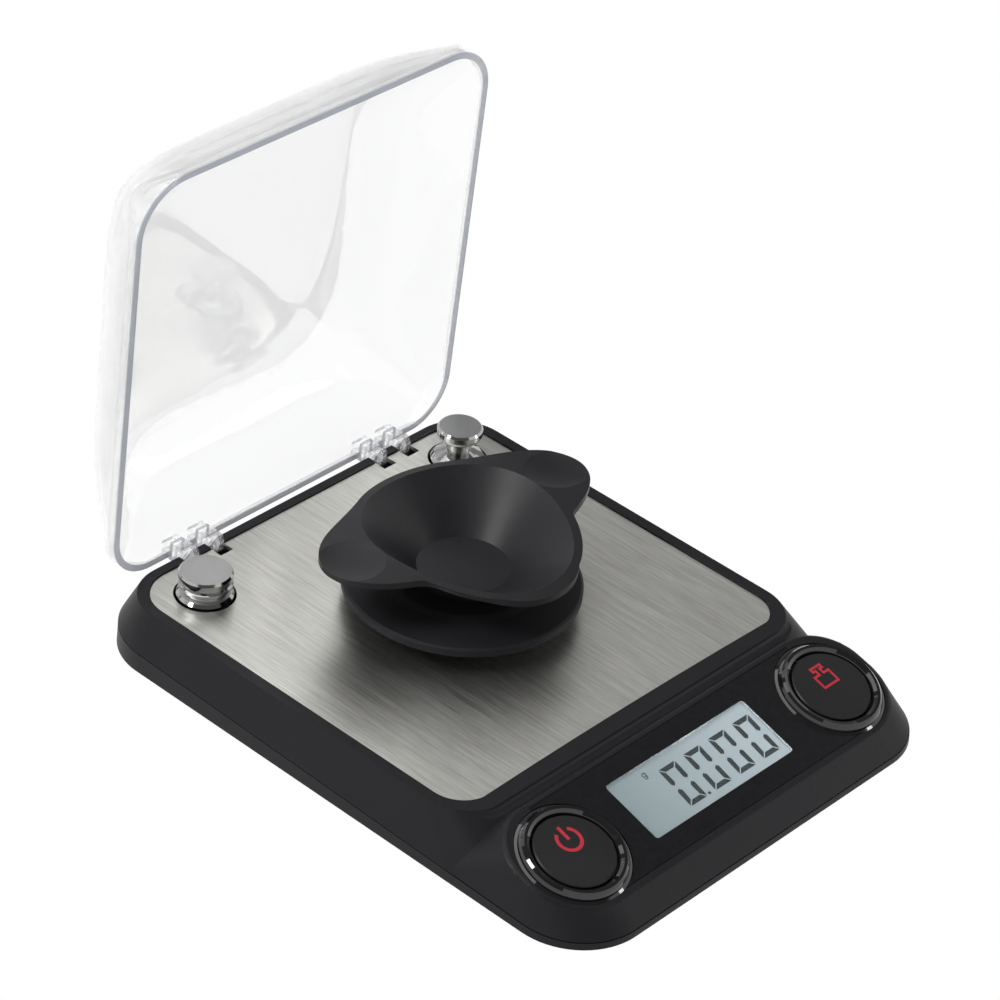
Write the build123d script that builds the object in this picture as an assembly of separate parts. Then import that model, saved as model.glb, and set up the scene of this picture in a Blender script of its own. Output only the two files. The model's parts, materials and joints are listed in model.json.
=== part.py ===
"""Pocket milligram scale with a hinged clear lid, lift-off pan and two calibration weights.

Frame: +X is the user's right, +Y the hinge side, +Z up. Lengths in millimetres.
The pieces are modelled about the centre of the steel plate, with Z = 0 on the table,
and are moved at the end so that the origin is the bottom centre of the whole part.
"""
from build123d import *
import math
import os

# Overall body
body_width = 90.0
body_front_y = -69.4
body_back_y = 43.4
front_corner_r = 12.5
back_corner_r = 12.5
base_corner_r = 6.0
deck_height = 16.0
parting_front_z = 7.4
parting_back_z = 10.1
wall = 1.8
roof_wall = 2.2
foot_height = 1.0
belly_z = 6.1
belly_bulge = 0.1
base_side_inset = 11.8
base_front_inset = 15.5
base_back_inset = 6.5
parting_gap = 0.15

# Raised frame round the steel plate
rim_width = 2.2
rim_rise = 0.3
rim_corner_r = 9.0
rim_back_y = 40.0
rim_front_y = -41.5
roof_thickness = 1.6
valley_r = 1.3
valley_depth = 0.9

# Steel plate
plate_width = 79.8
plate_length = 76.4
plate_thickness = 0.8
plate_back_r = 7.5
plate_front_r = 6.0
plate_front_bow = 0.6
plate_gap = 0.12

# Sloping control area
panel_tilt = 16.6
panel_y = -55.1
panel_z = 13.55
inlay_s = 0.5
inlay_height = 19.8
inlay_thickness = 0.8
inlay_gap = 0.1
panel_roof = 2.3
pad_margin = 0.9
pad_back_s = 11.4
pad_back_r = 10.0
pad_edge_r = 0.9
skirt_back_y = -36.0
skirt_back_r = 4.0
skirt_step = 0.1
waist_front_y = -60.0
waist_r = 20.0

# Display
window_x = -0.7
window_s = 0.6
window_width = 34.2
window_height = 12.3
window_corner_r = 0.6
lens_gap = 0.05
lcd_width = 38.0
lcd_height = 16.0
lcd_thickness = 1.6
lcd_gap = 0.1
backlight_width = 35.6
backlight_height = 11.6
connector_width = 1.2

# Main board
board_width = 74.0
board_height = 15.0
board_thickness = 1.2
board_s = 2.0
board_depth = 4.5
board_screw_x = 22.6
board_screw_low_s = -3.4
board_screw_high_s = 7.6
board_screw_r = 0.8
board_screw_head_r = 1.6
board_screw_head = 0.7
board_post_r = 1.7
chip_size = 7.0
chip_thickness = 0.9
chip_x = -6.0
chip_s = 1.0

# Buttons
button_x = 32.0
ring_outer_r = 9.3
ring_flange_r = 9.75
ring_inner_r = 7.3
ring_rise = 1.3
ring_seat = 1.1
cap_gap = 0.32
cap_rise = 0.9
cap_flange = 0.7
cap_flange_r = 7.7
press_travel = 0.3
switch_size = 6.0
switch_height = 1.5
switch_knob_r = 1.6
plunger_r = 1.7

# Lid
lid_width = 81.3
lid_length = 78.5
lid_depth = 19.5
lid_wall = 1.2
lid_front_r = 10.0
lid_back_r = 9.0
lid_band = 1.6
lid_shoulder_r = 1.5
lid_side_power = 6.2
lid_front_power = 7.0
lid_back_power = 5.4
lid_steps = 24
lid_open_angle = 87.3
hinge_y = 40.0
hinge_z = 14.1
lid_rim_in = 0.8
lid_rim_up = 2.37

# Hinge tabs and pins
tab_x = [18.65, 24.55]
tab_width = 2.6
tab_gap = 0.15
tab_eye_r = 2.0
tab_rise = 3.85
tab_back = 4.4
tab_corner_r = 1.2
slot_front_y = 35.9
slot_sweep_r = 4.5
pin_r = 0.75
pin_clearance = 0.05
pin_overhang = 1.8
lug_drop = 2.4

# Calibration weights and their wells
well_x = 30.85
well_y = 29.9
well_r = 5.35
well_depth = 10.8
well_wall = 1.1
weight_body_r = 4.9
weight_seat_gap = 0.2
left_top = 4.86
left_knob_r = 4.67
right_top = 6.85
right_knob_r = 4.09
right_neck_r = 2.2

# Weighing platform and pan
platform_r = 20.5
platform_gap = 3.1
platform_edge = 1.9
platform_shoulder_r = 14.0
platform_seat_r = 12.5
platform_top = 22.1
platform_hollow = 1.1
load_x = 0.5
load_y = 0.5
stem_r = 2.5
stem_hole_r = 4.6
socket_r = 4.2
socket_depth = 1.6
pan_turn = -5.2
pan_floor_r = 8.0
pan_floor = 1.2
pan_wall = 1.5
pan_crown_z = 32.2
pan_bend_r = 143.0
pan_flange = 1.2
pan_margin = 0.9
dimple_r = 28.0
dimple_depth = 0.7
dimple_reach = 23.0
dimple_back = 3.4

# Load cell
cell_length = 45.0
cell_width = 9.0
cell_height = 6.0
cell_z = 5.8
cell_x = -10.0
cell_window_r = 2.2
cell_window_pitch = 5.0
cell_fixed_pitch = 7.0
cell_live_pitch = 4.4
cell_screw_inset = 3.5
cell_live_inset = 2.7
carrier_length = 15.2
carrier_thickness = 1.0
cell_screw_r = 1.4
cell_screw_head_r = 2.1
cell_screw_head = 0.8
cell_base_length = 15.0
cell_wall_gap = 0.1
cell_slot_height = 2.4
gauge_cover_length = 12.0
gauge_cover_width = 7.2
gauge_cover_thickness = 0.8
stop_gap = 0.3
stop_r = 1.5

# Battery bay
battery_r = 5.1
battery_length = 43.7
battery_nub_r = 1.9
battery_nub = 0.8
battery_pitch = 10.6
bay_y = -22.4
bay_half_x = 24.6
bay_half_y = 10.9
bay_wall = 1.0
bay_ceiling = 0.6
contact_thickness = 0.4
spring_r = 2.6
spring_wire_r = 0.3
door_thickness = 1.2
door_half_x = 26.0
door_tongue = 1.2
door_gap = 0.15
door_back_y = -9.0
door_rib = 0.4
door_rib_pitch = 2.2
door_rib_width = 1.0
door_rib_length = 18.0
door_rib_y = -55.0

# Feet and case screws
foot_r = 2.6
foot_x = 30.2
foot_front_y = -50.0
foot_back_y = 31.0
foot_recess = 0.6
case_screw_x = 29.6
case_screw_front_y = -38.0
case_screw_back_y = 15.0
case_screw_r = 1.25
case_screw_head_r = 2.3
case_screw_head = 1.4
case_post_r = 3.0

# Levels that several pieces share
half_body = body_width / 2
rim_top_z = deck_height + rim_rise
ledge_z = deck_height - plate_thickness
roof_z = ledge_z - roof_thickness
rim_half = plate_width / 2 + rim_width
floor_z = foot_height + wall
well_floor_z = deck_height - well_depth
platform_z = deck_height + platform_gap
board_top = board_depth
lcd_top = inlay_thickness + lcd_gap
lcd_bottom = lcd_top + lcd_thickness
battery_z = foot_height + door_thickness + 0.3 + battery_r
bay_top_z = battery_z + battery_r + 0.1
cell_top_z = cell_z + cell_height
door_top_z = foot_height + door_thickness


def block(x0, x1, y0, y1, z0, z1):
    lo = (min(x0, x1), min(y0, y1), min(z0, z1))
    hi = (max(x0, x1), max(y0, y1), max(z0, z1))
    size = [b - a for a, b in zip(lo, hi)]
    mid = [(a + b) / 2 for a, b in zip(lo, hi)]
    return Pos(*mid) * Box(*size)


def rod(radius, x, y, z0, z1):
    return Pos(x, y, (z0 + z1) / 2) * Cylinder(radius, z1 - z0)


def cross_rod(radius, x0, x1, y, z):
    return Pos((x0 + x1) / 2, y, z) * Rot(0, 90, 0) * Cylinder(radius, abs(x1 - x0))


def turned(points):
    """A solid of revolution about Z from a list of (radius, height)."""
    return revolve(Plane.XZ * make_face(Polyline(points + [points[0]])), Axis.Z)


def across(points, half_width=70.0):
    """A bar along X from a list of (y, z)."""
    face = Plane.YZ * make_face(Polyline(points + [points[0]]))
    return Pos(-half_width, 0, 0) * extrude(face, 2 * half_width, dir=(1, 0, 0))


def outline(half_width, front_y, back_y, front_r, back_r):
    """A rectangle with one radius on its front corners and another on its back ones."""
    face = Pos(0, (front_y + back_y) / 2) * Rectangle(2 * half_width, back_y - front_y)
    face = fillet(face.vertices().group_by(Axis.Y)[0], front_r)
    return fillet(face.vertices().group_by(Axis.Y)[-1], back_r)


def body_outline(inset):
    return outline(
        half_body - inset,
        body_front_y + inset,
        body_back_y - inset,
        front_corner_r - inset,
        back_corner_r - inset,
    )


# The control area's own plane
sin_tilt = math.sin(math.radians(panel_tilt))
cos_tilt = math.cos(math.radians(panel_tilt))
tan_tilt = sin_tilt / cos_tilt
panel = Plane(origin=(0, panel_y, panel_z), x_dir=(1, 0, 0), z_dir=(0, -sin_tilt, cos_tilt))


def on_panel(x, s, depth):
    """A place on the control area: s up its slope and depth below its surface."""
    return panel * Pos(x, s, -depth)


def panel_slab(width, height, top, bottom, x=0.0, s=0.0):
    return on_panel(x, s, bottom) * extrude(Rectangle(width, height), bottom - top)


def panel_rod(radius, x, s, top, bottom):
    return on_panel(x, s, bottom) * extrude(Circle(radius), bottom - top)


# The parting plane between the two housings
parting_slope = math.atan2(parting_back_z - parting_front_z, body_back_y - body_front_y)
parting_mid_y = (body_front_y + body_back_y) / 2
parting = Plane(
    origin=(0, parting_mid_y, (parting_front_z + parting_back_z) / 2),
    x_dir=(1, 0, 0),
    z_dir=(0, -math.sin(parting_slope), math.cos(parting_slope)),
)


def at_parting(face):
    return parting * Pos(0, -parting_mid_y, 0) * face


def panel_surface_z(y):
    return panel_z + (y - panel_y) * tan_tilt


def frame_block(inset):
    """The upper body from the parting plane up to the raised frame, without the control area."""
    rim_r = rim_corner_r - inset
    rim = outline(rim_half - inset, rim_front_y + inset, rim_back_y - inset, rim_r, rim_r)
    waist = outline(
        half_body - inset, waist_front_y + inset, body_back_y - inset,
        waist_r - inset, back_corner_r - inset)
    return loft([at_parting(waist), Pos(0, 0, rim_top_z) * rim], ruled=True)


def pad_block(inset):
    """The control area's pad, its skirt spreading from round the buttons to the parting plane."""
    reach = ring_flange_r + pad_margin - inset
    pad = outline(button_x + reach, -reach, pad_back_s - inset, reach, pad_back_r - inset)
    inset += skirt_step
    skirt = outline(
        half_body - inset, body_front_y + inset, skirt_back_y - inset,
        front_corner_r - inset, skirt_back_r - inset)
    return loft([at_parting(skirt), panel * pad], ruled=True)


def belly_block(inset, lift):
    """The lower body from just under the parting plane to the base."""
    top = Pos(0, 0, -parting_gap) * at_parting(body_outline(inset))
    grow = belly_bulge - inset
    widest = outline(
        half_body + grow, body_front_y - grow, body_back_y + grow,
        front_corner_r + grow, back_corner_r + grow)
    draw = inset / 3
    base = outline(
        half_body - base_side_inset - draw, body_front_y + base_front_inset + draw,
        body_back_y - base_back_inset - draw, base_corner_r, base_corner_r)
    widest = Pos(0, 0, belly_z + lift / 4) * widest
    base = Pos(0, 0, foot_height + lift) * base
    return loft([top, widest], ruled=True) + loft([widest, base], ruled=True)


# Top housing outside
console = pad_block(0)
console = fillet(console.faces().sort_by(Axis.Z)[-1].edges(), pad_edge_r)
upper = frame_block(0) + console

# Soft valley round the front of the raised frame
valley_half = rim_half + valley_r * 0.6
valley_front = rim_front_y - valley_r * 0.6
valley_z = rim_top_z + valley_r - valley_depth
valley_path = FilletPolyline(
    (-valley_half - 1.6, -22, valley_z + 3),
    (-valley_half, valley_front, valley_z),
    (valley_half, valley_front, valley_z),
    (valley_half + 1.6, -22, valley_z + 3),
    radius=rim_corner_r,
)
valley_start = Plane(origin=valley_path @ 0, z_dir=valley_path % 0)
upper -= sweep(valley_start * Circle(valley_r), path=valley_path)

# Top housing inside
roof_front_y = panel_y + (roof_z + panel_roof / cos_tilt - panel_z) / tan_tilt
cavity_profile = across([
    (body_front_y, 0),
    (body_front_y, panel_surface_z(body_front_y) - panel_roof / cos_tilt),
    (roof_front_y, roof_z),
    (60, roof_z),
    (60, 0),
])
upper -= (frame_block(roof_wall) + pad_block(roof_wall)) & cavity_profile


# Plate
def plate_shape(gap, height):
    """The plate's outline, grown by gap, with its slightly hollow front edge."""
    half = plate_width / 2 + gap
    reach = plate_length / 2 + gap
    face = outline(half, -reach, reach, plate_front_r + gap, plate_back_r + gap)
    bow_r = (half**2 + plate_front_bow**2) / (2 * plate_front_bow)
    hollow = Pos(0, -reach - bow_r + plate_front_bow) * Circle(bow_r)
    return Pos(0, 0, ledge_z) * extrude(face - hollow, height)


def per_tab(shape_between):
    """One shape for each of the four lid tabs, from its two X limits."""
    shapes = []
    for side in (-1, 1):
        for start in tab_x:
            ends = sorted((side * start, side * (start + tab_width)))
            shapes.append(shape_between(ends[0], ends[1]))
    return shapes


plate = plate_shape(0, plate_thickness)
plate -= per_tab(lambda x0, x1: block(x0 - tab_gap, x1 + tab_gap, slot_front_y, 60, 0, 30))
for side in (-1, 1):
    plate -= rod(well_r, side * well_x, well_y, 0, 30)
plate -= rod(stem_hole_r, load_x, load_y, 0, 30)
upper -= plate_shape(plate_gap, 5)

# Hinge lugs, tab slots and pin bores
pin_x0 = tab_x[0] - pin_overhang
pin_x1 = tab_x[1] + tab_width + pin_overhang
inside_block = frame_block(0.3)
for side in (-1, 1):
    lug = block(
        side * (pin_x0 - 1.0), side * (pin_x1 + 1.0),
        hinge_y - 4.6, 50, roof_z - lug_drop, roof_z + 0.1)
    upper += lug & inside_block


def tab_slot(x0, x1):
    x0 = x0 - tab_gap
    x1 = x1 + tab_gap
    sweep_room = cross_rod(slot_sweep_r, x0, x1, hinge_y, hinge_z)
    sweep_room &= block(x0, x1, 0, hinge_y, 0, 30)
    eye_room = cross_rod(tab_eye_r + 0.25, x0, x1, hinge_y, hinge_z)
    above = block(x0, x1, slot_front_y, 60, hinge_z, 30)
    return sweep_room + eye_room + above


upper -= per_tab(tab_slot)
for side in (-1, 1):
    upper -= cross_rod(pin_r, side * pin_x0, side * pin_x1, hinge_y, hinge_z)

# Weight wells and stem hole
well_room = belly_block(wall + parting_gap, wall + parting_gap)
well_room += block(-60, 60, -60, body_back_y - 3, belly_z - 1.5, roof_z + 1)
for side in (-1, 1):
    well_tube = rod(well_r + well_wall, side * well_x, well_y, well_floor_z - 0.8, roof_z + 0.1)
    upper += well_tube & well_room
    upper -= rod(well_r, side * well_x, well_y, well_floor_z, 30)
upper -= rod(stem_hole_r, load_x, load_y, 0, 30)

# Inlay recess, display opening, ring seats and button holes
upper -= panel_slab(2 * button_x, inlay_height + 2 * inlay_gap, -5, inlay_thickness, s=inlay_s)
upper -= panel_slab(lcd_width + 0.4, lcd_height + 0.4, -5, 6, window_x, window_s)
for side in (-1, 1):
    upper -= panel_rod(ring_flange_r + inlay_gap, side * button_x, 0, -5, ring_seat)
    upper -= panel_rod(cap_flange_r + 0.3, side * button_x, 0, -5, 6)

# Posts for the main board and the case screws
board_screw_places = [
    (x, s) for x in (-board_screw_x, board_screw_x) for s in (board_screw_low_s, board_screw_high_s)]
for x, s in board_screw_places:
    upper += panel_rod(board_post_r, x, s, panel_roof - 0.2, board_top)
    upper -= panel_rod(board_screw_r, x, s, board_top - 2.2, board_top)
case_screw_places = [
    (side * case_screw_x, y) for side in (-1, 1) for y in (case_screw_front_y, case_screw_back_y)]
post_foot_z = floor_z + 2.6
for x, y in case_screw_places:
    upper += rod(case_post_r, x, y, post_foot_z, roof_z + 0.1)
    upper -= rod(case_screw_r, x, y, post_foot_z, roof_z - 0.8)

# Bottom housing shell
lower = belly_block(0, 0) - belly_block(wall, wall)

# Pad that keeps the floor strong above the sliding door
door_x = door_half_x + door_tongue
door_pad = block(
    -door_x - 1.6, door_x + 1.6, body_front_y, door_back_y + 1.6,
    door_top_z, door_top_z + door_gap + 1.0)
lower += door_pad & belly_block(0.5, 0.5)

# Battery bay walls
bay = block(
    -bay_half_x - bay_wall, bay_half_x + bay_wall,
    bay_y - bay_half_y - bay_wall, bay_y + bay_half_y + bay_wall,
    floor_z - 0.2, bay_top_z + bay_ceiling)
lower += bay
bay_room = block(-bay_half_x, bay_half_x, bay_y - bay_half_y, bay_y + bay_half_y, 0, bay_top_z)
lower -= bay_room

# Foot recesses and case screw bosses
foot_places = [(side * foot_x, y) for side in (-1, 1) for y in (foot_front_y, foot_back_y)]
for x, y in foot_places:
    lower += rod(foot_r + 0.4, x, y, foot_height + 0.3, floor_z) & belly_block(0.4, 0.2)
for x, y in case_screw_places:
    boss = rod(case_post_r + 0.6, x, y, foot_height + 0.2, post_foot_z - parting_gap)
    lower += boss & belly_block(0.4, 0.1)
    lower -= rod(case_screw_head_r + 0.15, x, y, 0, foot_height + 1.8)
    lower -= rod(case_screw_r + 0.15, x, y, 0, 20)
for x, y in foot_places:
    lower -= rod(foot_r, x, y, 0, foot_height + foot_recess)

# Door recess with its side grooves
recess_back_y = door_back_y + door_gap
recess_top_z = door_top_z + door_gap
tongue_z = foot_height + 0.45
lower -= block(-door_half_x - door_gap, door_half_x + door_gap, -90, recess_back_y, 0, recess_top_z)
lower -= block(-door_x - door_gap, door_x + door_gap, -90, recess_back_y, tongue_z - door_gap, recess_top_z)

# Load cell seat and overload stop boss
cell_x0 = cell_x - cell_length / 2
cell_x1 = cell_x + cell_length / 2
stop_x = cell_x1 - cell_live_inset
lower += rod(3.0, stop_x, 0, floor_z - 0.3, floor_z + 1.2)
lower -= rod(stop_r, stop_x, 0, foot_height + 0.6, 20)

# Battery door
door = block(-door_half_x, door_half_x, -90, door_back_y, foot_height, door_top_z)
door += block(-door_x, door_x, -90, door_back_y, tongue_z, door_top_z)
door &= belly_block(0, 0)
for step in range(5):
    rib_room = Box(door_rib_length, door_rib_width, 2 * door_rib)
    door -= Pos(0, door_rib_y + door_rib_pitch * step, foot_height) * rib_room

# Batteries, contacts and springs
contact_face = bay_half_x - contact_thickness
contact_half = battery_pitch / 2 - 0.9
batteries = []
springs = []
for row in (-1, 1):
    y = bay_y + row * battery_pitch / 2
    plus = -row
    can = cross_rod(battery_r, -battery_length / 2, battery_length / 2, y, battery_z)
    can = fillet(can.edges().filter_by(GeomType.CIRCLE), 0.5)
    nub_end = contact_face
    nub_start = nub_end - battery_nub
    can = Pos(plus * (nub_start - battery_length / 2), 0, 0) * can
    batteries.append(can + cross_rod(battery_nub_r, plus * (nub_start - 0.3), plus * nub_end, y, battery_z))
    coil_room = contact_face + nub_start - battery_length - 0.3
    coil = Helix(pitch=coil_room / 3, height=coil_room - spring_wire_r, radius=spring_r, cone_angle=12)
    wire = sweep(Plane(origin=coil @ 0, z_dir=coil % 0) * Circle(spring_wire_r), path=coil, is_frenet=True)
    springs.append(Pos(-plus * (contact_face - spring_wire_r), y, battery_z) * Rot(0, plus * 90, 0) * wire)


def contact_blade(side, y0, y1):
    return block(side * contact_face, side * bay_half_x, y0, y1, battery_z - 4.2, battery_z + 4.2)


front_row = bay_y - battery_pitch / 2
back_row = bay_y + battery_pitch / 2
bridge_contact = contact_blade(1, front_row - contact_half, back_row + contact_half)
front_contact = contact_blade(-1, front_row - contact_half, front_row + contact_half)
back_contact = contact_blade(-1, back_row - contact_half, back_row + contact_half)

# Load cell, its base, carrier, gauge cover and stop
cell = block(cell_x0, cell_x1, -cell_width / 2, cell_width / 2, cell_z, cell_top_z)
cell_mid_z = cell_z + cell_height / 2
window_half = cell_window_pitch / 2
for shift in (-window_half, window_half):
    cell -= Pos(cell_x + shift, 0, cell_mid_z) * Rot(90, 0, 0) * Cylinder(cell_window_r, 20)
cell_slot = Box(cell_window_pitch, 2 * cell_width, cell_slot_height)
cell -= Pos(cell_x, 0, cell_mid_z) * cell_slot
fixed_x = [cell_x0 + cell_screw_inset, cell_x0 + cell_screw_inset + cell_fixed_pitch]
live_x = [cell_x1 - cell_live_inset, cell_x1 - cell_live_inset - cell_live_pitch]
cell_base = block(cell_x0, cell_x0 + cell_base_length, -cell_width / 2, cell_width / 2, floor_z, cell_z)
cell_base &= belly_block(wall + cell_wall_gap, wall)
carrier_top_z = cell_top_z + carrier_thickness
carrier = block(
    cell_x1 - carrier_length, cell_x1, -cell_width / 2, cell_width / 2, cell_top_z, carrier_top_z)
carrier += rod(stem_r, load_x, load_y, cell_top_z, platform_z + socket_depth)
carrier = carrier - rod(cell_screw_r, live_x[0], 0, 0, 30) - rod(cell_screw_r, live_x[1], 0, 0, 30)
cell_screws = []
for x in fixed_x:
    cell -= rod(cell_screw_r, x, 0, 0, 30)
    cell_base -= rod(cell_screw_r, x, 0, 0, 30)
    head = rod(cell_screw_head_r, x, 0, cell_top_z, cell_top_z + cell_screw_head)
    cell_screws.append(head + rod(cell_screw_r, x, 0, floor_z, cell_top_z))
for x in live_x:
    cell -= rod(cell_screw_r, x, 0, 0, 30)
    head = rod(cell_screw_head_r, x, 0, cell_z - cell_screw_head, cell_z)
    cell_screws.append(head + rod(cell_screw_r, x, 0, cell_z, carrier_top_z - 0.2))
gauge_cover = Pos(cell_x, 0, cell_top_z + gauge_cover_thickness / 2) * Box(
    gauge_cover_length, gauge_cover_width, gauge_cover_thickness)
gauge_cover = fillet(gauge_cover.edges().filter_by(Axis.Z), 1.0)
overload_stop = rod(stop_r, stop_x, 0, foot_height + 0.6, cell_z - cell_screw_head - stop_gap)

# Weighing platform
platform = turned([
    (0, platform_z),
    (platform_r - 0.5, platform_z),
    (platform_r, platform_z + 0.4),
    (platform_r, platform_z + platform_edge - 0.3),
    (platform_r - 0.4, platform_z + platform_edge),
    (platform_shoulder_r, platform_top - 0.5),
    (platform_seat_r, platform_top),
    (0, platform_top),
])
hollow = rod(platform_r - 1.6, 0, 0, platform_z - 1, platform_z + platform_hollow)
platform -= hollow - rod(socket_r, 0, 0, 0, 30)
platform -= rod(stem_r, 0, 0, 0, platform_z + socket_depth)
platform = Pos(load_x, load_y, 0) * platform

# Weighing pan: ears to the sides and a pouring lip to the front, on a gently arched flange
pan_floor_z = platform_top + pan_floor
pan_clear_z = pan_crown_z + 1.5


def flange_z(v):
    """The flange's top surface, arched over the line through the ears."""
    return pan_crown_z - v**2 / (2 * pan_bend_r)


def mouth_reach(turn):
    return 17.7 - 0.6 * math.sin(turn) - 0.8 * math.cos(2 * turn) + 0.7 * math.sin(3 * turn)


def rim_reach(turn):
    """How far the flange reaches, wide at the ears and the pouring lip."""
    ears = 20.9 + 2.9 * math.cos(2 * turn) + 2.6 * math.cos(4 * turn) + 0.8 * math.cos(6 * turn)
    lip = 0.2 * math.sin(turn) + 2.8 * math.sin(3 * turn) + 0.5 * math.sin(5 * turn)
    least = mouth_reach(turn) + pan_margin
    excess = ears + lip - least
    return least + (excess + math.sqrt(excess**2 + 0.5)) / 2


def mouth_spread(turn):
    """The bowl's straight wall carried up to the clearing height."""
    reach = mouth_reach(turn)
    rise = flange_z(reach * math.sin(turn)) - pan_floor_z
    return pan_floor_r + (reach - pan_floor_r) * (pan_clear_z - pan_floor_z) / rise


def polar_face(reach_at, z, grow=0.0):
    points = []
    for step in range(36):
        turn = math.radians(10 * step)
        reach = reach_at(turn) + grow
        points.append((reach * math.cos(turn), reach * math.sin(turn)))
    return Pos(0, 0, z) * make_face(Spline(points, periodic=True))


def arch(radius):
    return Pos(0, 0, pan_crown_z - pan_bend_r) * Rot(0, 90, 0) * Cylinder(radius, 80)


flange = extrude(polar_face(rim_reach, pan_crown_z - 5), 8) - arch(pan_bend_r - pan_flange)
floor_outside = Pos(0, 0, platform_top) * Circle(pan_floor_r + pan_wall / 2)
cup = loft([floor_outside, polar_face(mouth_spread, pan_clear_z, pan_wall)], ruled=True)
well = loft([
    Pos(0, 0, pan_floor_z) * Circle(pan_floor_r),
    polar_face(mouth_spread, pan_clear_z),
], ruled=True)
pan = (flange + cup - well) & arch(pan_bend_r)
for side in (-1, 1):
    pan -= Pos(side * dimple_reach, dimple_back, pan_crown_z + dimple_r - dimple_depth) * Sphere(dimple_r)
pan = Pos(load_x, load_y, 0) * Rot(0, 0, pan_turn) * pan

# Calibration weights
weight_z = well_floor_z + weight_seat_gap
left_z = deck_height + left_top
right_z = deck_height + right_top
weight_left = turned([
    (0, weight_z),
    (weight_body_r - 0.4, weight_z),
    (weight_body_r, weight_z + 0.4),
    (weight_body_r, left_z - 4.6),
    (weight_body_r - 0.5, left_z - 4.1),
    (3.9, left_z - 3.9),
    (3.9, left_z - 3.3),
    (left_knob_r - 0.4, left_z - 3.1),
    (left_knob_r, left_z - 2.7),
    (left_knob_r, left_z - 2.2),
    (left_knob_r - 0.5, left_z - 1.9),
    (left_knob_r - 0.5, left_z - 1.7),
    (left_knob_r, left_z - 1.4),
    (left_knob_r, left_z - 0.4),
    (left_knob_r - 0.35, left_z),
    (0, left_z),
])
weight_right = turned([
    (0, weight_z),
    (weight_body_r - 0.4, weight_z),
    (weight_body_r, weight_z + 0.4),
    (weight_body_r, right_z - 6.6),
    (weight_body_r - 0.6, right_z - 5.8),
    (weight_body_r - 1.7, right_z - 5.2),
    (right_neck_r, right_z - 4.7),
    (right_neck_r, right_z - 3.2),
    (right_knob_r - 1.0, right_z - 2.6),
    (right_knob_r - 0.2, right_z - 1.9),
    (right_knob_r, right_z - 1.3),
    (right_knob_r, right_z - 0.4),
    (right_knob_r - 0.35, right_z),
    (0, right_z),
])
weight_left = Pos(-well_x, well_y, 0) * weight_left
weight_right = Pos(well_x, well_y, 0) * weight_right

# Buttons and their gloss rings
ring_mid_r = (ring_outer_r + ring_inner_r) / 2
ring_profile = turned([
    (ring_inner_r, -ring_seat),
    (ring_flange_r, -ring_seat),
    (ring_flange_r, -0.1),
    (ring_outer_r, 0.1),
    (ring_outer_r - 0.1, 0.5),
    (ring_outer_r - 0.4, 0.95),
    (ring_mid_r + 0.2, ring_rise),
    (ring_mid_r - 0.3, ring_rise - 0.05),
    (ring_inner_r + 0.2, ring_rise - 0.45),
    (ring_inner_r, ring_rise - 0.8),
])
cap_r = ring_inner_r - cap_gap
plunger_bottom = -(board_top - switch_height - press_travel - 0.05)
cap_profile = turned([
    (0, cap_rise),
    (cap_r - 0.2, cap_rise),
    (cap_r, cap_rise - 0.2),
    (cap_r, -ring_seat - 0.1),
    (cap_flange_r, -ring_seat - 0.1),
    (cap_flange_r, -ring_seat - 0.1 - cap_flange),
    (plunger_r, -ring_seat - 0.1 - cap_flange),
    (plunger_r, plunger_bottom),
    (0, plunger_bottom),
])
rings = {side: on_panel(side * button_x, 0, 0) * ring_profile for side in (-1, 1)}
caps = {side: on_panel(side * button_x, 0, 0) * cap_profile for side in (-1, 1)}
switches = []
for side in (-1, 1):
    can = panel_slab(switch_size, switch_size, board_top - switch_height + 0.4, board_top, side * button_x)
    switches.append(can + panel_rod(switch_knob_r, side * button_x, 0, board_top - switch_height, board_top))

# Inlay, lens, display stack and main board
inlay = panel_slab(2 * button_x, inlay_height, 0, inlay_thickness, s=inlay_s)
for side in (-1, 1):
    inlay -= panel_rod(ring_flange_r + inlay_gap, side * button_x, 0, -5, 5)
window_face = fillet(Rectangle(window_width, window_height).vertices(), window_corner_r)
inlay -= on_panel(window_x, window_s, 5) * extrude(window_face, 10)
lens_face = Rectangle(window_width - 2 * lens_gap, window_height - 2 * lens_gap)
lens_face = fillet(lens_face.vertices(), window_corner_r)
lens = on_panel(window_x, window_s, inlay_thickness) * extrude(lens_face, inlay_thickness)
lcd = panel_slab(lcd_width, lcd_height, lcd_top, lcd_bottom, window_x, window_s)
backlight_s = window_s - 0.4
backlight = panel_slab(backlight_width, backlight_height, lcd_bottom, board_top, window_x, backlight_s)
connector_s = window_s + lcd_height / 2 - connector_width / 2 - 0.4
connector = panel_slab(backlight_width, connector_width, lcd_bottom, board_top, window_x, connector_s)
board = panel_slab(board_width, board_height, board_top, board_top + board_thickness, s=board_s)
chip_top = board_top + board_thickness
chip = panel_slab(chip_size, chip_size, chip_top, chip_top + chip_thickness, chip_x, chip_s)
board_screws = []
for x, s in board_screw_places:
    board -= panel_rod(board_screw_r, x, s, 0, 10)
    head_top = board_top + board_thickness
    head = panel_rod(board_screw_head_r, x, s, head_top, head_top + board_screw_head)
    board_screws.append(head + panel_rod(board_screw_r, x, s, board_top - 2.0, head_top))


def lead(points, radius=0.42):
    """A round wire along straight runs with eased corners."""
    path = FilletPolyline(*points, radius=1.2)
    return sweep(Plane(origin=path @ 0, z_dir=path % 0) * Circle(radius), path=path)


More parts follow.
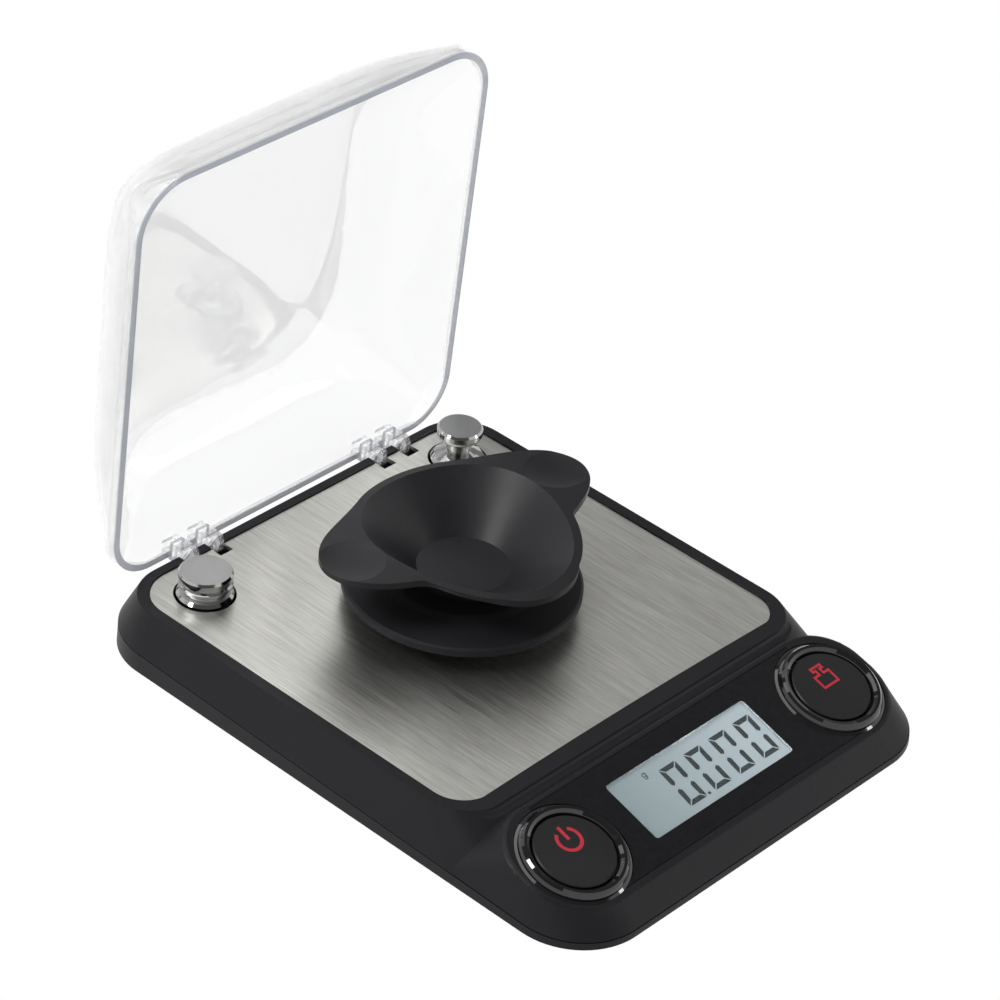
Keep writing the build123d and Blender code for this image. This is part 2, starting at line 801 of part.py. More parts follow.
board_back = on_panel(0, board_s + board_height / 2, board_top + board_thickness / 2).position
lead_z = cell_top_z + 0.5
leads = []
for index in range(4):
    start_x = cell_x - 4.5 + index * 1.1
    bend_y = -6.0 - index * 0.95
    run_x = -36.5 + index * 1.1
    leads.append(lead([
        (start_x, -3.7, lead_z),
        (start_x, bend_y, lead_z),
        (run_x, bend_y, lead_z),
        (run_x, board_back.Y + 5, lead_z),
        (run_x, board_back.Y + 0.6, board_back.Z),
    ]))

# Lid, built shut and then swung open to rest
lid_plane_z = hinge_z + lid_rim_up
lid_back_y = hinge_y - lid_rim_in


def lid_fall(share, power):
    """How much of the crown is left at a share of the way out from the middle."""
    return 1 - abs(share) ** power


def lid_dome(inset, start_z):
    """A cushion-shaped block, its crown falling off towards all four sides, drawn in by the wall."""
    half_width = lid_width / 2 - inset
    half_length = lid_length / 2 - inset
    middle_y = lid_back_y - lid_length / 2
    rise = lid_depth - inset - lid_band
    side_power = lid_side_power + inset / 2
    steps = [1.02 * (2 * step / lid_steps - 1) for step in range(lid_steps + 1)]
    crown = []
    for u in steps:
        row = []
        for v in steps:
            end_power = lid_back_power if v > 0 else lid_front_power
            share = lid_fall(u, side_power) * lid_fall(v, end_power)
            row.append(Vector(
                half_width * u, middle_y + half_length * v, lid_plane_z + lid_band + rise * share))
        crown.append(row)
    under = extrude(Face.make_surface_from_array_of_points(crown, tol=0.005), 2 * lid_depth, dir=(0, 0, -1))
    column = extrude(
        Pos(0, 0, start_z) * outline(
            half_width, middle_y - half_length, middle_y + half_length,
            lid_front_r - inset, lid_back_r - inset),
        2 * lid_depth)
    dome = column & under
    return fillet(dome.faces().sort_by(Axis.Z)[-1].edges(), lid_shoulder_r)


lid = lid_dome(0, lid_plane_z) - lid_dome(lid_wall, lid_plane_z - 1)
open_lid = Pos(0, hinge_y, hinge_z) * Rot(-lid_open_angle, 0, 0) * Pos(0, -hinge_y, -hinge_z)
lid = open_lid * lid
for side in (-1, 1):
    for start in tab_x:
        x0, x1 = sorted((side * start, side * (start + tab_width)))
        arm = block(x0, x1, hinge_y - tab_eye_r, hinge_y + tab_back, hinge_z + 0.2, hinge_z + tab_rise)
        arm = fillet(arm.edges().filter_by(Axis.X).group_by(Axis.Z)[-1], tab_corner_r)
        eye = cross_rod(tab_eye_r, x0, x1, hinge_y, hinge_z)
        lid += arm + eye
        lid -= cross_rod(pin_r + pin_clearance, x0 - 0.5, x1 + 0.5, hinge_y, hinge_z)
pins = [cross_rod(pin_r, side * pin_x0, side * pin_x1, hinge_y, hinge_z) for side in (-1, 1)]

# Feet and case screws
feet = [rod(foot_r, x, y, 0, foot_height + foot_recess) for x, y in foot_places]
case_screws = []
for x, y in case_screw_places:
    head = rod(case_screw_head_r, x, y, foot_height + 1.8 - case_screw_head, foot_height + 1.8)
    case_screws.append(head + rod(case_screw_r, x, y, foot_height + 1.8, roof_z - 0.8))

# Everything, moved to the shared frame and written out
pieces = {
    "top_housing": upper,
    "bottom_housing": lower,
    "deck_plate": plate,
    "draft_lid": lid,
    "hinge_pins": pins,
    "weighing_platform": platform,
    "platform_carrier": carrier,
    "weighing_pan": pan,
    "load_cell": cell,
    "load_cell_base": cell_base,
    "load_cell_screws": cell_screws,
    "gauge_cover": gauge_cover,
    "overload_stop": overload_stop,
    "main_board": board,
    "controller_chip": chip,
    "board_screws": board_screws,
    "button_switches": switches,
    "lcd_panel": lcd,
    "lcd_backlight": backlight,
    "lcd_connector": connector,
    "panel_inlay": inlay,
    "display_lens": lens,
    "button_ring_left": rings[-1],
    "button_ring_right": rings[1],
    "power_button": caps[-1],
    "mode_button": caps[1],
    "calibration_weight_left": weight_left,
    "calibration_weight_right": weight_right,
    "battery_front": batteries[0],
    "battery_back": batteries[1],
    "contact_plates": [bridge_contact, front_contact, back_contact],
    "battery_springs": springs,
    "battery_door": door,
    "sensor_leads": leads,
    "rubber_feet": feet,
    "case_screws": case_screws,
}


def as_list(piece):
    return piece if isinstance(piece, list) else [piece]


boxes = [solid.bounding_box() for piece in pieces.values() for solid in as_list(piece)]
low_y = min(box.min.Y for box in boxes)
high_y = max(box.max.Y for box in boxes)
shift_y = -(low_y + high_y) / 2
os.makedirs("parts", exist_ok=True)
for name, piece in pieces.items():
    moved = [Pos(0, shift_y, 0) * solid for solid in as_list(piece)]
    export_step(moved[0] if len(moved) == 1 else Compound(moved), f"parts/{name}.step")
print("shift", round(shift_y, 4), "span", round(high_y - low_y, 3))
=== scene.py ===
"""A pocket milligram scale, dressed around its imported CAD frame.

Lengths are in metres, unless a name says otherwise.
"""

import json
import math

import bpy
from mathutils import Matrix, Vector


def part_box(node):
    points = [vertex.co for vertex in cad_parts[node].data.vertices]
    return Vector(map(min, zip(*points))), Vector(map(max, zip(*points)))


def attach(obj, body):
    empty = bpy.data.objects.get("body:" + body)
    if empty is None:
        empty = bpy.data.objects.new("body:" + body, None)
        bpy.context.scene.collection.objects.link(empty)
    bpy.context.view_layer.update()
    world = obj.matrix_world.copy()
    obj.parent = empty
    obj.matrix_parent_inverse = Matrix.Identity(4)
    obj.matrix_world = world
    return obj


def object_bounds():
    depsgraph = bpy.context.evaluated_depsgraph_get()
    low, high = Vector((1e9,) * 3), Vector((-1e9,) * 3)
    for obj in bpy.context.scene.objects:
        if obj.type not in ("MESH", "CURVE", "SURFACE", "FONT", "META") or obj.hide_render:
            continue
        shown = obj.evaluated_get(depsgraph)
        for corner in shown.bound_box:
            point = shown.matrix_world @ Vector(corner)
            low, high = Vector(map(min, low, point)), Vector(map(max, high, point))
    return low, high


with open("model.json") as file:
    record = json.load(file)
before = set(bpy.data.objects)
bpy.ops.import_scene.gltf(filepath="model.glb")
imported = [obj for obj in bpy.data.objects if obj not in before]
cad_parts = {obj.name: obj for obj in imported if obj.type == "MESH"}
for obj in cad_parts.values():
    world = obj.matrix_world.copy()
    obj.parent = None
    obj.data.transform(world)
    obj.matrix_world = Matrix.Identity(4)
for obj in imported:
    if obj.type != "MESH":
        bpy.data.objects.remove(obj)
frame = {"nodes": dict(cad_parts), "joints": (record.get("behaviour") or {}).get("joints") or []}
cad_low, cad_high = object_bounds()
mm = 0.001


# Housing: two moulded halves in soft-touch black, met at a thin parting line.
# The skin is a fine spark-eroded grain that scatters light, and its gloss varies a little at random.
class Wire:
    """One output in a finish's node tree. Sums on it add the nodes that work them out."""

    def __init__(self, tree, socket=None):
        self.tree = tree
        self.socket = socket

    def node(self, kind, settings=None, sockets=None, output=0):
        """A new node: its settings first, then its sockets' values or links."""
        made = self.tree.nodes.new("ShaderNode" + kind)
        for name, value in (settings or {}).items():
            setattr(made, name, value)
        for name, value in (sockets or {}).items():
            if isinstance(value, Wire):
                self.tree.links.new(value.socket, made.inputs[name])
            else:
                made.inputs[name].default_value = value
        return Wire(self.tree, made.outputs[output])

    def sum(self, operation, *values):
        """A Math node on these values or wires."""
        return self.node("Math", {"operation": operation}, dict(enumerate(values)))

    def __add__(self, other):
        return self.sum("ADD", self, other)

    def __sub__(self, other):
        return self.sum("SUBTRACT", self, other)

    def __rsub__(self, other):
        return self.sum("SUBTRACT", other, self)

    def __mul__(self, other):
        return self.sum("MULTIPLY", self, other)

    def __gt__(self, other):
        return self.sum("GREATER_THAN", self, other)

    __radd__ = __add__
    __rmul__ = __mul__

    def between(self, low, high):
        """0 at low, 1 at high, and straight between them."""
        span = {"Value": self, "From Min": low, "From Max": high}
        return self.node("MapRange", {"clamp": True}, span)

    def tint(self, dark, light):
        """A colour from dark to light as this goes from 0 to 1."""
        colours = {0: self, 6: (*dark, 1), 7: (*light, 1)}
        return self.node("Mix", {"data_type": "RGBA"}, colours, output=2)

    def bump(self, height):
        """A surface normal, raised by this wire times height."""
        return self.node("Bump", {}, {"Height": self, "Distance": height, "Strength": 1})


class Finish:
    """A material of one Principled shader, with its points in the part's own frame."""

    def __init__(self, name, colour, roughness, **rest):
        self.material = bpy.data.materials.new(name)
        self.material.use_nodes = True
        tree = self.material.node_tree
        self.shader = next(n for n in tree.nodes if n.type == "BSDF_PRINCIPLED")
        coordinates = tree.nodes.new("ShaderNodeTexCoord")
        self.point = Wire(tree, coordinates.outputs["Object"])
        self.facing = Wire(tree, coordinates.outputs["Normal"])
        self.set("Base Color", (*colour, 1))
        self.set("Roughness", roughness)
        for socket, value in rest.items():
            self.set(socket.replace("_", " "), value)

    def set(self, socket, value):
        """Links a wire to one of the shader's sockets, or sets a plain value on it."""
        if isinstance(value, Wire):
            value.tree.links.new(value.socket, self.shader.inputs[socket])
        else:
            self.shader.inputs[socket].default_value = value

    def across(self, wire, axis):
        """One part of a point or a direction."""
        return wire.node("SeparateXYZ", {}, {0: wire}, output="XYZ".index(axis))

    def stretched(self, x, y, z):
        """The part's points, scaled along each axis."""
        return self.point.node("VectorMath", {"operation": "MULTIPLY"}, {0: self.point, 1: (x, y, z)})

    def grain(self, x, y=None, z=None, detail=3.0, roughness=0.55):
        """Noise with x, y and z cells to a metre. Without y and z, the cells are as fine along them."""
        y, z = (x if y is None else y), (x if z is None else z)
        cells = self.stretched(x, y, z)
        return self.point.node(
            "TexNoise", {}, {"Vector": cells, "Scale": 1, "Detail": detail, "Roughness": roughness}
        )


def dress(finish, *names):
    """Gives CAD nodes this finish."""
    for name in names:
        slots = frame["nodes"][name].data.materials
        slots.clear()
        slots.append(finish.material)


def moulded(name, dark, light, roughness, grain_per_m, depth, specular=0.5):
    """Moulded plastic: cloudy in the large, grained in the small, and a little uneven in gloss."""
    made = Finish(name, dark, roughness, Specular_IOR_Level=specular)
    cloud = made.grain(60, detail=2)
    skin = made.grain(grain_per_m, detail=2, roughness=0.6)
    made.set("Base Color", (cloud * 0.7 + skin * 0.3).between(0.3, 0.7).tint(dark, light))
    made.set("Roughness", roughness + (cloud - 0.5) * 0.10 + (skin - 0.5) * 0.14)
    made.set("Normal", skin.bump(depth))
    return made


housing_skin = moulded(
    "soft_touch_black",
    dark=(0.0072, 0.0072, 0.0088),
    light=(0.0098, 0.0098, 0.0118),
    roughness=0.46,
    grain_per_m=3600,
    depth=0.020 * mm,
    specular=0.20,
)
dress(housing_skin, "top_housing", "bottom_housing")


# Deck plate: a sheet of stainless steel, brushed front to back and let into the top housing.
# Long strokes over a finer grain give the streaks, and they spread its reflections sideways.
def brushed_steel(name, dark, light, roughness, across_per_m, along_per_m):
    """Metal with brush strokes along Y, so many of them to a metre across, and so many breaks along."""
    made = Finish(name, dark, roughness, Metallic=1.0)
    strokes = made.grain(across_per_m, along_per_m, along_per_m, detail=4, roughness=0.7)
    scratches = made.grain(across_per_m * 3.1, along_per_m * 1.7, along_per_m, detail=2)
    cloud = made.grain(38, 24, 24, detail=2)
    streak = strokes * 0.55 + scratches * 0.3 + cloud * 0.15
    made.set("Base Color", streak.between(0.36, 0.66).tint(dark, light))
    made.set("Roughness", roughness + (strokes - 0.5) * 0.16 + (cloud - 0.5) * 0.08)
    made.set("Normal", (strokes * 0.6 + scratches * 0.4).bump(0.030 * mm))
    return made


brushed_stainless = brushed_steel(
    "brushed_stainless",
    dark=(0.52, 0.516, 0.485),
    light=(0.78, 0.775, 0.735),
    roughness=0.34,
    across_per_m=2600,
    along_per_m=90,
)
dress(brushed_stainless, "deck_plate")


# Weighing platform: a round table of satin black plastic on a short carrier, which the load cell holds.
# It is moulded in one, and the pan stands loose on its raised seat.
platform_skin = moulded(
    "platform_satin",
    dark=(0.015, 0.015, 0.017),
    light=(0.020, 0.020, 0.023),
    roughness=0.50,
    grain_per_m=5200,
    depth=0.010 * mm,
    specular=0.12,
)
dress(platform_skin, "weighing_platform", "platform_carrier")


# Weighing pan: a shallow bowl with a bent rim, two thumb lobes and a pouring lip, moulded in one.
# Its skin is a fine even grain with a soft sheen.
pan_skin = moulded(
    "pan_grain",
    dark=(0.0072, 0.0072, 0.0088),
    light=(0.0108, 0.0108, 0.0130),
    roughness=0.40,
    grain_per_m=5200,
    depth=0.022 * mm,
    specular=0.28,
)
dress(pan_skin, "weighing_pan")


# Load cell: a machined bar of aluminium, screwed to a moulded seat, with coated gauges in its middle.
# It bends a few hundredths of a millimetre under load.
bar = Finish("machined_aluminium", (0.70, 0.71, 0.72), 0.30, Metallic=1.0)
cut = bar.grain(250, 4200, 900, detail=3)
bar.set("Base Color", cut.between(0.3, 0.7).tint((0.60, 0.61, 0.62), (0.78, 0.79, 0.80)))
bar.set("Roughness", 0.26 + cut * 0.16)
bar.set("Normal", cut.bump(0.010 * mm))
dress(bar, "load_cell")

cell_seat_black = moulded(
    "cell_seat_black",
    dark=(0.016, 0.016, 0.017),
    light=(0.026, 0.026, 0.027),
    roughness=0.55,
    grain_per_m=2600,
    depth=0.020 * mm,
)
dress(cell_seat_black, "load_cell_base", "overload_stop")

silicone = Finish("gauge_silicone", (0.78, 0.78, 0.74), 0.42, Coat_Weight=0.2)
lumps = silicone.grain(420, detail=2)
silicone.set("Base Color", lumps.between(0.3, 0.7).tint((0.70, 0.70, 0.66), (0.82, 0.82, 0.79)))
silicone.set("Normal", lumps.bump(0.10 * mm))
dress(silicone, "gauge_cover")


# Screws: zinc-plated steel, turned and rolled, so their plating has a faint cloudy brightness.
# Four hold the load cell, and the others the board and the two halves of the case.
zinc = Finish("zinc_plate", (0.50, 0.50, 0.50), 0.32, Metallic=1.0)
plating = zinc.grain(900, detail=3)
zinc.set("Base Color", plating.between(0.3, 0.7).tint((0.40, 0.41, 0.43), (0.60, 0.60, 0.59)))
zinc.set("Roughness", 0.24 + plating * 0.2)
zinc.set("Normal", plating.bump(0.006 * mm))
dress(zinc, "load_cell_screws", "board_screws", "case_screws")


# Main board: green glass-epoxy with the copper showing as paler lanes under its lacquer.
# The controller is a black moulded chip, and each button has a small switch.
board = Finish("board_lacquer", (0.012, 0.12, 0.045), 0.3, Coat_Weight=0.5, Coat_Roughness=0.2)
lanes = board.point.node("TexBrick", {"offset": 0.5, "squash": 1.0}, {
    "Vector": board.point,
    "Scale": 420,
    "Mortar Size": 0.04,
    "Color1": (0, 0, 0, 1),
    "Color2": (0.2, 0.2, 0.2, 1),
    "Mortar": (1, 1, 1, 1),
})
weave = board.grain(1500, detail=2)
copper = (lanes * 0.7 + weave * 0.3).between(0.1, 0.9)
board.set("Base Color", copper.tint((0.008, 0.085, 0.030), (0.03, 0.21, 0.08)))
board.set("Normal", lanes.bump(0.020 * mm))
dress(board, "main_board")

chip_black = moulded(
    "chip_black",
    dark=(0.012, 0.012, 0.012),
    light=(0.020, 0.020, 0.020),
    roughness=0.48,
    grain_per_m=3000,
    depth=0.010 * mm,
)
dress(chip_black, "controller_chip")

switch_black = moulded(
    "switch_black",
    dark=(0.025, 0.025, 0.026),
    light=(0.040, 0.040, 0.042),
    roughness=0.40,
    grain_per_m=2600,
    depth=0.010 * mm,
)
dress(switch_black, "button_switches")


# Display: a liquid crystal cell under the inlay's window, backlit through a white diffuser from one end.
# The glass is grey-blue, made paler towards that end by painted light, with painted shade for a dim edge
# where the window shades it; a faint glow in that colour stands in for the backlight.
press = next(j for j in frame["joints"] if j["name"] == "power_button_press")
panel_out = -Vector(press["axis"])
panel_up = Vector((1, 0, 0)).cross(panel_out) * -1


def on_panel(name):
    """A node's reach on the tilted panel: (left, right), (front, back) and (bottom, top) of it."""
    spots = [v.co for v in frame["nodes"][name].data.vertices]
    reach = []
    for way in (Vector((1, 0, 0)), panel_up, panel_out):
        along = [spot.dot(way) for spot in spots]
        reach.append((min(along), max(along)))
    return reach


glass_top = on_panel("lcd_panel")[2][1]
lens_x, lens_s = on_panel("display_lens")[:2]

cell = Finish("crystal_cell", (0.42, 0.50, 0.53), 0.35)
along_x = cell.across(cell.point, "X").between(lens_x[0], lens_x[1])
along_y = cell.across(cell.point, "Y").between(lens_s[0] * panel_up.y, lens_s[1] * panel_up.y)
mottle = cell.grain(420, detail=2)
# Painted shade: a dim band along the window's edge. Painted light: the cell grows paler towards one end.
painted_window_shade = 1 - (1 - along_y).between(0.0, 0.16)
painted_backlight = (along_x * 0.85 + 0.10 + (mottle - 0.5) * 0.10 - painted_window_shade * 0.12).between(0, 1)
cell_colour_and_painted_light = painted_backlight.tint((0.200, 0.262, 0.278), (0.470, 0.545, 0.590))
cell.set("Base Color", cell_colour_and_painted_light)
cell.set("Roughness", 0.3 + mottle * 0.1)
# A faint glow in the painted colour stands in for the backlight.
cell.set("Emission Color", cell_colour_and_painted_light)
cell.set("Emission Strength", 0.18)
dress(cell, "lcd_panel")

diffuser = Finish("white_diffuser", (0.80, 0.82, 0.84), 0.5)
milkiness = diffuser.grain(800).between(0.3, 0.7)
diffuser.set("Base Color", milkiness.tint((0.74, 0.76, 0.78), (0.84, 0.86, 0.88)))
dress(diffuser, "lcd_backlight")

strip = Finish("striped_elastomer", (0.6, 0.25, 0.4), 0.6)
stripes = strip.point.node(
    "TexWave", {"bands_direction": "X"}, {"Vector": strip.point, "Scale": 900, "Distortion": 0.2}
)
strip.set("Base Color", stripes.tint((0.10, 0.05, 0.07), (0.72, 0.40, 0.52)))
dress(strip, "lcd_connector")


# Display segments: the cell's darkened figures, four noughts and a point, with a small mark for the unit.
# They are flat strips with mitred ends and fine gaps, in dark teal, and lie just under the lens.
figure_width = 4.05 * mm
figure_height = 8.15 * mm
figure_pitch = 6.12 * mm
figure_slant = 0.40 * mm
stroke = 0.98 * mm
mitre_gap = 0.16 * mm
waist_gap = 0.80 * mm
first_figure_x = -7.40 * mm
figures_s = lens_s[0] + 1.67 * mm
figure_skin = 0.03 * mm
figure_lift = 0.004 * mm
figure_count = 4


def panel_point(x, s, height):
    """A point on the tilted panel, from its place across, up the slope and out of it."""
    return Vector((x, 0, 0)) + panel_up * s + panel_out * height


def laid_on_panel(name, outlines, height, skin):
    """Flat strips of that thickness, from outlines of (across, up the slope)."""
    corners = []
    faces = []
    for outline in outlines:
        start = len(corners)
        count = len(outline)
        for level in (height, height + skin):
            corners += [panel_point(x, s, level) for x, s in outline]
        faces.append([start + count + k for k in range(count)])
        faces.append([start + k for k in reversed(range(count))])
        for k in range(count):
            after = (k + 1) % count
            faces.append([start + k, start + after, start + count + after, start + count + k])
    mesh = bpy.data.meshes.new(name)
    mesh.from_pydata(corners, [], faces)
    made = bpy.data.objects.new(name, mesh)
    bpy.context.scene.collection.objects.link(made)
    return made


def nought(left, bottom):
    """The six strips of a nought, each a mitred bar, with open waists at half height."""
    right, top, middle = left + figure_width, bottom + figure_height, bottom + figure_height / 2
    half_gap, point = mitre_gap / 2, stroke / 2
    bars = []
    for level, inward in ((bottom, 1), (top, -1)):
        bars.append([
            (left + mitre_gap, level),
            (right - mitre_gap, level),
            (right - stroke - half_gap, level + inward * (stroke - half_gap)),
            (left + stroke + half_gap, level + inward * (stroke - half_gap)),
        ])
    for edge, inward in ((left, 1), (right, -1)):
        for level, towards in ((bottom, 1), (top, -1)):
            waist = middle - towards * waist_gap / 2
            bars.append([
                (edge, level + towards * mitre_gap),
                (edge + inward * (stroke - half_gap), level + towards * (stroke + half_gap)),
                (edge + inward * stroke, waist - towards * point),
                (edge + inward * point, waist),
                (edge, waist - towards * point * 0.8),
            ])
    return [[(x + figure_slant * (s - bottom) / figure_height, s) for x, s in bar] for bar in bars]


def band(x, s, outer, inner, start, end, steps):
    """A round band from one angle to another, in degrees, with that many steps along each edge."""
    turns = [math.radians(start + (end - start) * k / steps) for k in range(steps + 1)]
    outside = [(x + outer * math.cos(a), s + outer * math.sin(a)) for a in turns]
    inside = [(x + inner * math.cos(a), s + inner * math.sin(a)) for a in turns]
    return outside + inside[::-1]


def block(left, bottom, right, top):
    """The outline of an upright rectangle."""
    return [(left, bottom), (right, bottom), (right, top), (left, top)]


segments = []
for place in range(figure_count):
    segments += nought(first_figure_x + place * figure_pitch, figures_s)
point_size = 0.50 * mm
point_x = first_figure_x + figure_width + 0.48 * mm
segments.append(block(point_x, figures_s, point_x + point_size, figures_s + point_size))

unit_x = (lens_x[0] + lens_x[1]) / 2 - 9.1 * mm
unit_s = lens_s[1] - 1.75 * mm
unit_r = 0.44 * mm
unit_stroke = 0.17 * mm
unit_inner = unit_r - unit_stroke
segments.append(band(unit_x, unit_s, unit_r, unit_inner, 0, 359.9, 20))
segments.append(block(unit_x + unit_inner, unit_s - unit_r, unit_x + unit_r, unit_s + unit_r))
segments.append(band(unit_x, unit_s - unit_r, unit_r, unit_inner, 200, 360, 10))

figures = laid_on_panel("display_segments", segments, glass_top + figure_lift, figure_skin)
teal = Finish("segment_teal", (0.035, 0.075, 0.085), 0.5, Specular_IOR_Level=0.15)
# Painted light: the segments are a little lighter towards the cell's painted paler end.
segment_painted_light = teal.across(teal.point, "X").between(lens_x[0], lens_x[1])
teal.set("Base Color", segment_painted_light.tint((0.003, 0.016, 0.019), (0.010, 0.026, 0.031)))
figures.data.materials.append(teal.material)
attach(figures, "base")


# Inlay and lens: a gloss black panel set into the control slope, with a clear window over the display.
# Its gloss carries a trace of orange peel and fine dust-like haze.
def gloss_black(name, shade, roughness, coat):
    """Polished black plastic, with a clear coat of that weight."""
    made = Finish(name, shade, roughness, Specular_IOR_Level=0.4, Coat_Weight=coat, Coat_Roughness=0.03)
    haze = made.grain(900, detail=4)
    peel = made.grain(170, detail=1)
    made.set("Base Color", haze.between(0.35, 0.75).tint(shade, tuple(c * 1.5 for c in shade)))
    made.set("Roughness", roughness + (haze - 0.5) * 0.08)
    made.set("Normal", peel.bump(0.012 * mm))
    return made


inlay_gloss = gloss_black("inlay_gloss", shade=(0.0050, 0.0048, 0.0060), roughness=0.22, coat=0.0)
dress(inlay_gloss, "panel_inlay")

lens_glass = Finish("window_lens", (0.97, 0.98, 0.98), 0.03, Transmission_Weight=1.0, IOR=1.45)
lens_glass.set("Roughness", 0.02 + lens_glass.grain(600) * 0.04)
dress(lens_glass, "display_lens")


# Button rings and caps: high-gloss black rings round two satin caps, each cap printed with a red sign.
# The left sign is a power mark, the right one an outline of a weight with its knob.
ring_gloss = gloss_black("ring_gloss", shade=(0.006, 0.006, 0.0065), roughness=0.06, coat=0.6)
dress(ring_gloss, "button_ring_left", "button_ring_right")

cap_satin = moulded(
    "cap_satin",
    dark=(0.0095, 0.0095, 0.0105),
    light=(0.0125, 0.0125, 0.0140),
    roughness=0.42,
    grain_per_m=5200,
    depth=0.006 * mm,
    specular=0.28,
)
dress(cap_satin, "power_button", "mode_button")

print_skin = 0.02 * mm
red_print = Finish("red_print", (0.45, 0.012, 0.03), 0.4)
ink = red_print.grain(1800).between(0.3, 0.7)
red_print.set("Base Color", ink.tint((0.42, 0.010, 0.026), (0.50, 0.016, 0.036)))


def cap_middle(cap, ring):
    """The middle of a cap and its ring, across and up the slope, and the height of the cap's top."""
    cap_across, _, cap_out = on_panel(cap)
    ring_up = on_panel(ring)[1]
    return sum(cap_across) / 2, sum(ring_up) / 2, cap_out[1]


cap_x, cap_s, cap_top = cap_middle("power_button", "button_ring_left")
sign_x = cap_x + 0.70 * mm
sign_s = cap_s + 2.10 * mm
sign_r = 2.42 * mm
sign_stroke = 0.62 * mm
bar_top = 2.75 * mm
half_bar = sign_stroke / 2
half_opening = 35
power_sign = [
    band(sign_x, sign_s, sign_r, sign_r - sign_stroke, half_opening - 270, 90 - half_opening, 40),
    block(sign_x - half_bar, sign_s, sign_x + half_bar, sign_s + bar_top),
]
power_print = laid_on_panel("power_sign", power_sign, cap_top, print_skin)

cap_x, cap_s, cap_top = cap_middle("mode_button", "button_ring_right")
sign_x = cap_x + 0.30 * mm
sign_s = cap_s + 0.05 * mm
line = 0.44 * mm
body_half, body_high = 2.0 * mm, 2.9 * mm
neck_half, neck_high = 0.75 * mm, 0.55 * mm
knob_half, knob_high = 1.40 * mm, 1.10 * mm


def weight_outline(inset):
    """The outline of a weight, drawn in by inset: its right half, and then its left half mirrored."""
    right = [
        (body_half - inset, inset),
        (body_half - inset, body_high - inset),
        (neck_half - inset, body_high - inset),
        (neck_half - inset, body_high + neck_high + inset),
        (knob_half - inset, body_high + neck_high + inset),
        (knob_half - inset, body_high + neck_high + knob_high - inset),
    ]
    return [(sign_x + x, sign_s + s) for x, s in right + [(-x, s) for x, s in reversed(right)]]


outer, inner = weight_outline(0), weight_outline(line)
weight_sign = []
for k in range(len(outer)):
    after = (k + 1) % len(outer)
    weight_sign.append([outer[k], outer[after], inner[after], inner[k]])
mode_print = laid_on_panel("mode_sign", weight_sign, cap_top, print_skin)

for printed, body in ((power_print, "power_cap"), (mode_print, "mode_cap")):
    printed.data.materials.append(red_print.material)
    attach(printed, body)


# Calibration weights: plated steel, turned bright on the sides, with a duller ground face on top.
# Each stands in a deep well of the housing, with its knob above the plate.
plated = Finish("weight_plate", (0.72, 0.72, 0.72), 0.07, Metallic=1.0)
ground = plated.across(plated.facing, "Z") > 0.9
lathe = plated.grain(3200, detail=3)
turned = plated.grain(200, 200, 5200, detail=2)
wear = (lathe * 0.5 + ground * 0.5).between(0.2, 0.8)
plated.set("Base Color", wear.tint((0.40, 0.40, 0.40), (0.42, 0.425, 0.42)))
plated.set("Roughness", 0.05 + turned * 0.05 + ground * (0.24 + lathe * 0.16))
plated.set("Normal", (lathe * ground + turned * (1 - ground) * 0.3).bump(0.006 * mm))
dress(plated, "calibration_weight_left", "calibration_weight_right")


# Draft lid: one clear acrylic moulding, a cushion-shaped dome with two pairs of eyes on steel pins.
# Light runs round inside its wall, so the cut edge of the rim looks slate blue; that band is painted on
# as a slate coat mixed over the clear shader.
hinge = next(j for j in frame["joints"] if j["name"] == "lid_hinge")
hinge_at = Vector(hinge["pos_m"])
lid_turn = math.radians(-hinge["range_deg"][0])
lid_out = Vector((0, math.sin(lid_turn), math.cos(lid_turn)))
above_the_eyes = hinge_at.z + 20 * mm
dome_spots = [v.co for v in frame["nodes"]["draft_lid"].data.vertices if v.co.z > above_the_eyes]
rim_level = min((spot - hinge_at).dot(lid_out) for spot in dome_spots)

clear = Finish(
    "clear_acrylic", (0.955, 0.958, 0.965), 0.0, Transmission_Weight=1.0, IOR=1.49, Alpha=0.42
)
clear.set("Roughness", 0.01 + clear.grain(300) * 0.02)
clear.set("Normal", clear.grain(38, detail=1).bump(0.060 * mm))
outward = clear.point.node(
    "VectorMath", {"operation": "DOT_PRODUCT"}, {0: clear.point, 1: lid_out}, output="Value"
)
from_rim = outward - (hinge_at.dot(lid_out) + rim_level)
within_rim = 1 - from_rim.between(0.05 * mm, 0.30 * mm)
clear_of_eyes = from_rim.between(-0.60 * mm, -0.30 * mm)
edge = clear.point.node("BsdfPrincipled", {}, {
    "Base Color": (0.36, 0.39, 0.47, 1),
    "Roughness": 0.25,
    "Alpha": 0.85,
    "Specular IOR Level": 0.5,
})
lid_tree = clear.point.tree
dome = Wire(lid_tree, clear.shader.outputs[0])
# Painted light: the slate rim band stands in for light running round inside the wall.
painted_slate_rim = within_rim * clear_of_eyes * 0.85
lid_skin = dome.node("MixShader", {}, {0: painted_slate_rim, 1: dome, 2: edge})
lid_tree.links.new(lid_skin.socket, lid_tree.nodes["Material Output"].inputs["Surface"])
dress(clear, "draft_lid")

pin_steel = Finish("pin_steel", (0.55, 0.55, 0.55), 0.22, Metallic=1.0)
pin_steel.set("Roughness", 0.16 + pin_steel.grain(4000, 300, 300) * 0.14)
dress(pin_steel, "hinge_pins")


